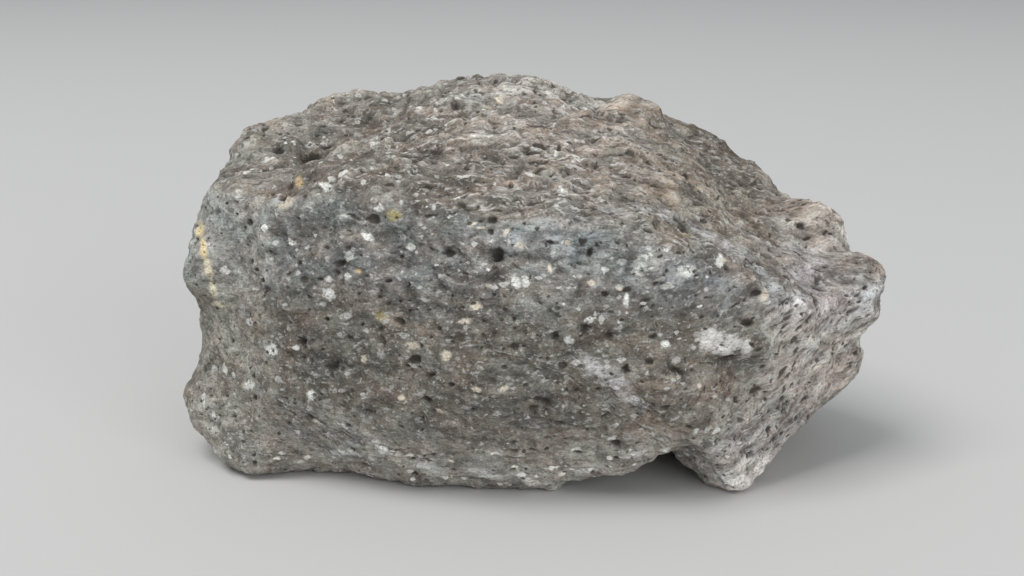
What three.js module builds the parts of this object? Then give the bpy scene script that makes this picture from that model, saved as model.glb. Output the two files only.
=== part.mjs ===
// Basalt rock: one broken lump of vesicular lava, a hand specimen about 150 mm long.
//
// Frame: +X to the right along the longest side, +Y to the back, +Z up, millimetres.
// The origin is at the middle of the bounding box in plan, on the plane that the rock rests on.
//
// The rock is one solid, worked the way it broke. Fracture planes cut a block out of space,
// and their edges are worn round. Lumps and creases are then added and cut, and noise roughens
// the skin. Last, whatever would reach below the plane it rests on is worn flat on that plane.

import * as THREE from "three";
import { ImprovedNoise } from "three/addons/math/ImprovedNoise.js";
import { mergeVertices } from "three/addons/utils/BufferGeometryUtils.js";

// ---- Driving dimensions ----

const EDGE_WEAR = 1.0; // how softly two fracture planes meet
const UNDERSIDE = -0.3; // the mean height of the rough underside, before the low spots are worn flat
const UNDERSIDE_WEAR = 2.5; // how softly the underside meets the sides

// The skin is drawn out from a husk, a sphere stretched to the size of the rock.
const SKIN_DETAIL = 20; // the husk has 20 * (SKIN_DETAIL + 1)^2 triangles
const HUSK_CENTRE = new THREE.Vector3(-2, 3, 38);
const HUSK_RADII = new THREE.Vector3(74, 42, 38);
// Every point of the skin is in plain view from the nearest point of the spine.
const SPINE = new THREE.Line3(new THREE.Vector3(-38, 2, 38), new THREE.Vector3(42, -4, 31));
const CORE = 12; // no skin lies nearer to the spine than this
const REACH = 60; // and none further
const STRIDE = 2; // the step along a ray while looking for the skin
const HALVINGS = 12; // how often the step that crosses the skin is halved
const EVENING_PASSES = 14; // how often the triangles are evened out

// The broken skin: how wide and how high its swells, lumps and knobs are.
const SWELL = { size: 27, height: 1.5, shift: 11.3 };
const LUMP = { size: 14, height: 2.2, shift: 3.1 };
const KNOB = { size: 6.5, height: 1.7, shift: 37.7 };
const MEAN_BILLOW = 0.25; // the mean of the noise's size, so that lumps and knobs leave the girth alone

// Fracture planes: name, compass of the outward normal in degrees (0 = +X, 90 = +Y, the back,
// -90 = the front), its rise above the horizon, and a point that the plane passes through.
const FRACTURES = [
  ["front_left_upper", -108, 9, [-30, -30.5, 45]],
  ["front_upper", -91, 10, [2, -37, 44]],
  ["front_right_upper", -72, 9, [40, -31, 42]],
  ["front_lower", -92, -30, [0, -39, 22]],
  ["front_left_lower", -110, -27, [-30, -24.2, 0]],
  ["left_corner", -132, 4, [-58, -18.5, 35]],
  ["left_end", 179, 1, [-72.5, 0, 35]],
  ["left_brow", 178, 27, [-68.2, 3, 58.5]],
  ["left_foot", -158, -42, [-70, -8, 6]],
  ["left_shoulder", -165, 58, [-60, 8, 71.4]],
  ["crown_left", -119, 71, [-42, 14, 71.2]],
  ["crown", -60, 69, [-2, 12, 76.9]],
  ["crown_right", -30, 56, [42, 6, 57.8]],
  ["right_end", -8, -2, [68, 0, 32]],
  ["right_cheek", -53, -8, [50, -26, 28]],
  ["right_flank", -14, -46, [57.3, -12, 11.2]],
  ["back_upper", 87, 50, [-8, 18, 79]],
  ["back", 95, 3, [0, 46, 35]],
  ["back_left", 142, 10, [-55, 28, 35]],
  ["back_right", 44, 14, [52, 26, 40]],
  ["back_lower", 86, -34, [0, 40, 12]],
];

// Lumps are put on the block and creases are cut into it, in this order. Each is a round-ended bar:
// what it does, name, from, to, radius, and how softly it blends in.
const FORMS = [
  ["add", "summit", [-16, 16, 62], [-4, 17, 62], 14.3, 8],
  ["add", "crown_knob", [18, 17, 70.5], [26, 16.5, 70.5], 3.5, 4],
  ["add", "left_horn", [-60, 8, 63.5], [-51, 10, 66], 5.3, 5],
  ["add", "brow", [-42, -17, 60], [-24, -23, 60], 5, 5],
  ["add", "left_knob", [-65, -6, 43], [-65.5, 4, 42], 8, 4],
  ["add", "left_bulge", [-67, -6, 13], [-68, 4, 13], 8, 4],
  ["add", "left_heel", [-59, -12.5, 6], [-48, -12.5, 5.5], 8, 4],
  ["add", "shoulder", [52, 3, 46.5], [56.5, 3.5, 46], 8, 5],
  ["add", "nose", [56, -8, 36], [65.3, -6, 36.2], 9.4, 4],
  ["add", "chin", [56, -12, 23], [62.5, -9, 23], 6, 4],
  ["add", "ledge", [31, -28, 36], [38, -25, 36], 6.5, 3],
  ["add", "back_boss", [20, 37, 28], [30, 33, 22], 9, 5],
  ["cut", "back_hollow", [-26, 59, 46], [-6, 61, 32], 14, 6],
  ["cut", "bench", [-14, -20, 77.5], [28, -20, 73], 10.5, 6],
  ["cut", "bowl", [-50, -3, 66], [-47, -1, 67], 3.2, 3],
  ["cut", "crown_nick", [-48, 10, 76.3], [-47.5, 30, 78.3], 4.5, 4],
  ["cut", "crown_dip", [12, 8, 83], [16, 30, 81], 8, 6],
  ["cut", "nose_top", [47, -40, 55], [50, -5, 60], 7, 6],
  ["cut", "nose_under", [80.6, -20, 28], [80.6, 0, 29], 11, 4],
  ["cut", "under_ledge", [30, -40, 28], [40, -34, 27], 4, 4],
  ["cut", "belly_fold", [4, -47, 31], [25, -40, 12], 5, 5],
  ["cut", "under_belly", [17, -70, -11.5], [19, 5, -15.5], 19, 4],
  ["cut", "under_brow", [-48, -25, -5.5], [-35, -26.5, -5.5], 10, 5],
  ["cut", "under_middle", [-17, -32, -6], [-9, -33, -6], 9.5, 4],
  ["cut", "notch", [28.3, -50, 9.5], [28.7, -8, -3.5], 7.5, 2.5],
  ["add", "foot", [38, -16, 9], [39.5, -2, 8], 10.2, 3],
];

// ---- Helpers ----

const perlin = new ImprovedNoise();

function vector([x, y, z]) {
  return new THREE.Vector3(x, y, z);
}

// The unit vector with this compass bearing and rise, in degrees.
function heading(compass, rise) {
  const c = THREE.MathUtils.degToRad(compass);
  const r = THREE.MathUtils.degToRad(rise);
  return new THREE.Vector3(Math.cos(c) * Math.cos(r), Math.sin(c) * Math.cos(r), Math.sin(r));
}

// Smooth maximum and minimum of two signed distances.
function softMax(a, b, blend) {
  const h = Math.max(blend - Math.abs(a - b), 0) / blend;
  return Math.max(a, b) + (h * h * blend) / 4;
}
function softMin(a, b, blend) {
  return -softMax(-a, -b, blend);
}

function noise(p, { size, shift }) {
  return perlin.noise(p.x / size + shift, p.y / size + shift, p.z / size + shift);
}

// ---- The rock as a signed distance: negative inside, positive outside ----

const fractures = FRACTURES.map(([, compass, rise, through]) => {
  const normal = heading(compass, rise);
  return { normal, offset: normal.dot(vector(through)) };
});

const forms = FORMS.map(([work, , from, to, radius, blend]) => {
  return { work, line: new THREE.Line3(vector(from), vector(to)), radius, blend };
});

const nearest = new THREE.Vector3();
function barDistance(p, { line, radius }) {
  return line.closestPointToPoint(p, true, nearest).distanceTo(p) - radius;
}

function blockDistance(p) {
  let sum = 0;
  for (const { normal, offset } of fractures) sum += Math.exp((normal.dot(p) - offset) / EDGE_WEAR);
  return EDGE_WEAR * Math.log(sum);
}

// How far the broken skin stands out at p: long swells, then round lumps with sharp creases between them.
function relief(p) {
  const swell = SWELL.height * noise(p, SWELL);
  const billow = LUMP.height * (Math.abs(noise(p, LUMP)) - MEAN_BILLOW);
  const knobs = KNOB.height * (Math.abs(noise(p, KNOB)) - MEAN_BILLOW);
  return swell + billow + knobs;
}

function rockDistance(p) {
  let d = blockDistance(p);
  for (const form of forms) {
    const bar = barDistance(p, form);
    d = form.work === "add" ? softMin(d, bar, form.blend) : softMax(d, -bar, form.blend);
  }
  d = softMax(d, UNDERSIDE - p.z, UNDERSIDE_WEAR);
  return d - relief(p);
}

// ---- The skin: the husk's points, each moved out or in along its ray from the spine ----

// How far along the ray the rock's surface is.
function skinRadius(start, direction) {
  const p = new THREE.Vector3();
  const at = (r) => rockDistance(p.copy(start).addScaledVector(direction, r));
  let outside = CORE;
  while (at(outside) < 0 && outside < REACH) outside += STRIDE;
  let inside = outside - STRIDE;
  for (let i = 0; i < HALVINGS; i++) {
    const middle = (inside + outside) / 2;
    if (at(middle) < 0) inside = middle;
    else outside = middle;
  }
  return inside;
}

// The point of the skin on the ray from the spine through p. Points under the ground are worn off on it.
function onSkin(p) {
  const start = SPINE.closestPointToPoint(p, true, new THREE.Vector3());
  const direction = p.clone().sub(start).normalize();
  const r = skinRadius(start, direction);
  const floor = direction.z < 0 ? -start.z / direction.z : Infinity;
  const point = start.addScaledVector(direction, Math.min(r, floor));
  if (floor <= r) point.z = 0;
  return point;
}

// Each corner's neighbours along the triangles' edges.
function neighboursOf(corners, index) {
  const neighbours = Array.from({ length: corners }, () => new Set());
  for (let t = 0; t < index.length; t += 3)
    for (const [a, b] of [[0, 1], [1, 2], [2, 0]]) {
      neighbours[index[t + a]].add(index[t + b]);
      neighbours[index[t + b]].add(index[t + a]);
    }
  return neighbours;
}

function makeSkin() {
  const husk = new THREE.IcosahedronGeometry(1, SKIN_DETAIL);
  husk.deleteAttribute("normal");
  husk.deleteAttribute("uv");
  const skin = mergeVertices(husk, 1e-5);
  const position = skin.getAttribute("position");
  const corners = Array.from({ length: position.count }, (_, i) => {
    return new THREE.Vector3().fromBufferAttribute(position, i).multiply(HUSK_RADII).add(HUSK_CENTRE);
  });
  let points = corners.map(onSkin);
  // Even out the triangles: each point moves to the middle of its neighbours, then back to the skin.
  const neighbours = neighboursOf(position.count, skin.index.array);
  for (let pass = 0; pass < EVENING_PASSES; pass++) {
    points = neighbours.map((set) => {
      const middle = new THREE.Vector3();
      for (const j of set) middle.add(points[j]);
      return onSkin(middle.divideScalar(set.size));
    });
  }
  points.forEach((p, i) => position.setXYZ(i, p.x, p.y, p.z));

  // The origin goes to the middle of the bounding box in plan; the ground stays where it is.
  skin.computeBoundingBox();
  const centre = skin.boundingBox.getCenter(new THREE.Vector3());
  return skin.translate(-centre.x, -centre.y, 0);
}

// ---- The model ----

const basalt = new THREE.MeshStandardMaterial({ color: 0x6f706c, roughness: 0.85, metalness: 0 });

const rock = new THREE.Mesh(makeSkin(), basalt);
rock.name = "basalt_rock";

const specimen = new THREE.Group();
specimen.add(rock);

export default specimen;
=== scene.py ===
"""A lump of porous basalt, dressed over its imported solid."""

import math

import bpy
import numpy as np
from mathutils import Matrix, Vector


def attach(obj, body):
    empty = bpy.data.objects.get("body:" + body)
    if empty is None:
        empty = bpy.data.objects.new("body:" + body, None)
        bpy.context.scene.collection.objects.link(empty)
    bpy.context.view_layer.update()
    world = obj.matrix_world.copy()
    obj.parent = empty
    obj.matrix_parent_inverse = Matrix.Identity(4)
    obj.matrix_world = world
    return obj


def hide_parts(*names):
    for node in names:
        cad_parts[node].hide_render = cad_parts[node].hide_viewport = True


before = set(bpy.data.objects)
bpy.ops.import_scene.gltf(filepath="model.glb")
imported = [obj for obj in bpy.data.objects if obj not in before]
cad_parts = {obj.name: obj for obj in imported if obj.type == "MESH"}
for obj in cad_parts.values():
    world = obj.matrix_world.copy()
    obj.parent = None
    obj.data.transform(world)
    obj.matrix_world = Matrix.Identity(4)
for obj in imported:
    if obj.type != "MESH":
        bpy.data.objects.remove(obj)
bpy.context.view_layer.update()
NODE = "basalt_rock"
MM = 0.001
FINEST = 190000  # triangles on the finished skin

# The view, in mm: marks on the skin are placed across and up from the point it looks at
AIM = (-4.0, -4.5, 36.0)
RISE = 15.0
AWAY = 306.0
LENS = 50.0
SENSOR = 36.0
CLIP = (0.01, 20)  # m

# ---- Where the skin changes ----

# Each zone: where it begins, where it is whole, and how far that edge wavers
ZONES = {
    "top": (0.42, 0.66, 0.4),  # by how far up the skin faces
    "nose": (26.0, 39.0, 22.0),  # mm to the right, leaning back as it rises
    "low": (48.0, 36.0, 18.0),  # mm up
    "slope": (14.0, 26.0, 24.0),  # mm to the right
}
NOSE_LEAN = -0.38

# The same for the zones that only the finish has, all in mm
FINISH_ZONES = {
    "left": (-44.0, -54.0, 10.0),
    "foot": (28.0, 9.0, 8.0),
    "crown": (64.0, 80.0, 12.0),
    "crest": (76.0, 84.0, 8.0),
    "flank": (27.0, 17.0, 10.0),
    "front_foot": (2.0, 22.0, 10.0),
}
SHOULDERS = (3.0, 18.0, 36.0)  # mm: the middle between them, and how far out they begin and are whole

# The lava was drawn out towards the nose: past a leaning plane its grain is stretched along its way
STRETCH_LEAN = (0.85, 0.5)  # how much x and z count
STRETCH_FROM = 34.0  # mm: the x and the z that the plane goes through
STRETCH_BLEND = 6.0  # mm: how softly it sets in
STRETCH = 0.5
STRETCH_WAY = (0.86, 0.0, 0.51)
GRAIN_SQUEEZE = (0.8, 1.0, 1.1)

# degrees: how the streaks rise to the right along the cheek below the nose and on the slope above it
CHEEK_RISE = 36.0
SLOPE_RISE = -30.0
# how much a pattern is squeezed each way before the flow draws it out
FLOW_SQUEEZE = (0.28, 0.85, 1.0)

# ---- The relief of the skin, in mm ----

# how large they are, and how high they stand
LUMPS = {"lumps": (7.5, 4.2), "knobs": (3.8, 3.0), "crumbs": (1.9, 1.2)}
MEAN_BILLOW = 0.08  # taken off each, so that they sink the skin as well as raise it
CHIPS = (4.2, 0.3)  # how large they are, and how steep
HOLLOW_CELL = 3.4
HOLLOW_REACH = (0.3, 2.1)  # flat out to the first, gone at the second
HOLLOW_DEPTH = 0.85
WORN = (0.75, 0.5)  # lumps are worn off at this height, and how softly
LIFT = 0.22  # of the whole skin, which makes up for the pits

# Shape and finish share these, so that the shade lies in the pits: size and reach of the wisps that
# stir the bubbles and the flow, and size, detail and roughness of the noise along a placed hole's rim
FINE_WISPS = (1.4, 0.4)
FLOW_WISPS = (5.0, 1.8)
RIM_NOISE = (1.3, 2.0, 0.6)

# the cells that bubbles are scattered in, the largest radius, and the share of the cells that hold one
BUBBLES = {
    "large": (6.2, 1.45, 0.14),
    "middling": (3.3, 1.0, 0.42),
    "small": (1.6, 0.55, 0.5),
}
BUBBLE_DEPTH = 0.8
FRONT_SHARE = 0.72  # the front has this part of them, because its holes are placed one by one
FRONT_EDGE = (-32.0, -14.0)  # along y: where that holds in full, and where it ends
# the same as for the bubbles, where the skin is rough and the flow drew them out
SLITS = {"long": (3.4, 0.9, 0.5), "short": (1.7, 0.52, 0.55)}
HOLE_DEPTH = 1.25  # times the smaller half size of a placed hole
FRAY = 2.0  # how ragged the rim of a placed hole is

# ---- Marks that stand out ----

# Holes, as (across, up, half width, half height, tilt) in mm and degrees
HOLES = [
    (-43.2, 28.0, 3.4, 1.1, -4), (-3.4, 7.1, 1.7, 2.0, 0), (-37.0, 5.2, 1.4, 1.0, 0),
    (-45.2, -11.4, 1.4, 1.2, 0), (-38.1, -16.8, 1.7, 1.1, 30), (-24.1, -7.1, 1.6, 0.9, -40),
    (-27.5, -12.0, 0.6, 1.3, 20), (50.6, -7.5, 1.7, 1.1, -25), (45.8, -15.5, 2.8, 1.0, 8),
    (35.5, -17.9, 2.8, 0.9, -25), (9.3, -10.3, 0.9, 1.3, -10), (15.9, -8.8, 1.1, 1.3, 0),
    (16.8, 7.7, 0.8, 1.3, 0), (18.3, 9.3, 0.6, 1.1, 20), (8.2, 9.9, 1.3, 0.6, -10),
    (29.5, 12.3, 1.4, 0.5, -35), (30.8, 13.8, 1.3, 0.8, -25), (5.2, 18.5, 2.4, 0.5, 8),
    (5.2, 27.1, 2.2, 0.5, -6), (17.9, 31.6, 1.5, 0.5, -8), (-5.4, 29.5, 0.9, 1.1, 0),
    (10.1, 29.7, 0.9, 1.2, 0), (-16.4, 29.7, 1.5, 0.8, 5), (11.4, 40.4, 1.5, 0.8, 5),
    (-12.3, 39.2, 1.1, 0.9, 0), (-17.6, 15.5, 2.2, 0.5, 10), (-25.2, 26.0, 1.7, 0.6, -30),
    (-33.8, 15.3, 2.6, 0.5, -25), (52.1, 22.4, 1.7, 0.5, -8), (62.0, 13.6, 1.5, 0.9, 0),
    (65.4, -3.0, 0.6, 1.8, 10), (63.0, -23.9, 1.5, 0.6, 30), (58.5, -26.5, 0.8, 0.9, 0),
    (55.3, -30.6, 0.9, 1.1, 0), (51.2, -35.7, 1.3, 1.1, 0), (48.2, -23.9, 0.6, 1.0, 0),
    (74.2, -1.5, 1.5, 0.4, 30), (28.6, -2.6, 1.5, 0.5, 5), (30.1, -10.5, 1.0, 0.6, 0),
    (24.5, -17.6, 1.0, 1.3, 0), (21.1, -9.9, 0.9, 0.9, 0), (7.3, -24.5, 1.4, 1.0, -10),
    (10.3, -28.8, 2.6, 0.6, -12), (-17.4, -18.7, 1.3, 0.8, 15), (-15.3, 37.9, 0.7, 0.3, 10),
    (-6.0, 37.2, 0.9, 0.3, -20), (1.9, 36.6, 1.7, 0.3, 8), (6.0, 41.7, 0.5, 0.3, 0),
    (9.9, 36.4, 0.4, 0.4, 0), (-17.2, 34.4, 0.6, 0.5, 0), (-19.4, 29.5, 0.7, 0.3, -20),
    (-21.7, 30.8, 0.6, 0.2, -15), (-8.8, 28.6, 0.3, 0.9, 0), (0.4, 33.6, 0.5, 0.2, 10),
    (14.2, 32.3, 0.7, 0.2, -25), (7.1, 29.9, 0.6, 0.4, 0), (-9.9, 25.8, 0.9, 0.3, -30),
    (-15.3, 26.3, 0.6, 0.2, 0), (-11.8, 25.2, 1.5, 0.2, -35), (-13.8, 23.7, 0.6, 0.3, -10),
    (-4.5, 25.6, 0.4, 0.3, 0), (-1.9, 25.8, 0.6, 0.2, 5), (1.1, 25.0, 0.5, 0.6, 20),
    (-0.4, 22.0, 1.1, 0.4, 0), (4.1, 21.5, 0.9, 0.3, 0), (18.1, 26.5, 0.9, 0.5, -30),
    (8.6, 24.3, 0.9, 0.3, 25), (-1.7, 18.3, 0.5, 0.3, -30), (1.9, 18.5, 0.7, 0.4, -50),
    (-10.5, 17.6, 0.9, 0.6, 0), (-7.3, 17.6, 0.5, 0.7, 0), (-12.3, 16.1, 0.6, 0.3, 40),
    (-14.8, 7.5, 0.6, 0.4, 0), (-14.8, 5.2, 0.4, 0.3, 0), (-13.8, 2.8, 0.8, 0.3, -20),
    (-10.3, 3.2, 1.1, 0.3, -10), (-0.4, 6.9, 0.5, 0.3, -20), (1.1, 4.5, 1.1, 0.2, -35),
    (3.9, 2.4, 0.3, 0.6, 0), (-1.5, -1.7, 0.6, 0.3, -35), (-12.9, -1.7, 0.4, 0.4, 0),
    (6.0, -3.2, 0.9, 0.3, -30), (12.9, 0.4, 0.6, 0.3, 0), (9.7, -3.2, 0.4, 0.3, 0),
    (7.3, 9.3, 0.3, 0.7, 20), (17.9, 17.0, 0.9, 0.3, 0), (21.5, 15.7, 0.9, 0.3, 5),
    (20.4, 18.3, 0.9, 0.2, -25), (16.1, 15.5, 1.3, 0.2, -5), (22.6, 9.7, 0.6, 0.3, -20),
    (24.7, 9.0, 0.3, 0.8, 20), (33.8, 16.6, 0.3, 0.6, 30), (36.8, 12.7, 1.5, 0.3, -12),
    (40.0, 11.4, 1.1, 0.2, -20), (39.8, 15.5, 0.5, 0.3, -40), (41.3, 15.7, 0.3, 0.5, 20),
    (43.0, 15.1, 0.3, 0.5, 25), (37.7, 8.6, 0.5, 0.4, 0), (32.5, 2.8, 0.2, 0.4, 0),
    (42.6, 3.2, 0.3, 0.5, 20), (39.6, -1.7, 0.4, 0.5, 20), (50.1, -2.6, 0.5, 0.4, 30),
    (44.3, 19.4, 0.6, 0.3, 15), (44.1, 17.4, 0.6, 0.2, -20), (50.8, 20.0, 0.2, 0.6, 0),
    (55.1, 16.4, 0.6, 0.3, -20), (55.5, 11.4, 0.3, 0.8, 15), (55.5, 8.4, 0.4, 0.7, 0),
    (50.4, 6.2, 0.4, 0.4, -30), (48.0, 0.2, 0.6, 0.3, -10), (31.0, -7.7, 0.3, 0.9, 0),
    (41.5, -8.8, 0.6, 0.4, 0), (48.0, -3.7, 1.9, 0.2, 30), (44.3, -6.0, 0.4, 0.2, 35),
    (47.8, -8.4, 0.4, 0.2, 0), (45.0, -12.3, 0.6, 0.2, 5), (51.4, -12.1, 0.9, 0.4, -35),
    (58.3, -3.2, 1.7, 0.2, 38), (64.6, -1.3, 0.3, 0.6, 0), (62.4, -5.6, 0.5, 0.5, 0),
    (57.9, -9.5, 0.4, 0.5, 0), (63.7, -10.5, 0.6, 0.3, 5), (37.4, -15.5, 0.3, 0.7, 0),
    (54.0, -17.0, 0.9, 0.3, 30), (56.8, -14.2, 0.6, 0.2, 15), (43.9, -20.9, 1.1, 0.3, 40),
    (48.0, -19.4, 0.3, 0.4, 0), (52.3, -21.1, 0.5, 0.4, 0), (55.7, -19.8, 0.3, 0.6, -20),
    (41.5, -21.5, 0.2, 0.9, 0), (46.5, -22.0, 0.4, 0.2, 20), (50.6, -24.3, 0.6, 0.2, 10),
    (54.4, -22.4, 0.6, 0.2, 10), (61.5, -13.1, 0.7, 0.2, 45), (33.8, -24.7, 0.3, 0.3, 0),
    (38.3, -26.3, 0.4, 0.4, 0), (43.0, -26.9, 0.6, 0.2, 0), (42.4, -28.4, 0.3, 0.9, 0),
    (54.2, -28.6, 0.6, 0.3, 10), (57.0, -29.9, 0.2, 0.5, -20), (39.0, -32.1, 0.6, 0.3, -10),
    (43.9, -32.7, 0.9, 0.3, 38), (41.1, -33.8, 0.3, 0.3, 0), (45.6, -34.9, 0.2, 0.7, -15),
    (41.3, -35.3, 0.4, 0.2, 0), (49.9, -35.3, 0.4, 0.7, 15), (50.4, -37.7, 0.6, 0.4, -30),
    (44.1, -38.3, 0.6, 0.3, 0), (50.1, -39.6, 0.4, 0.3, 0),
]

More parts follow.
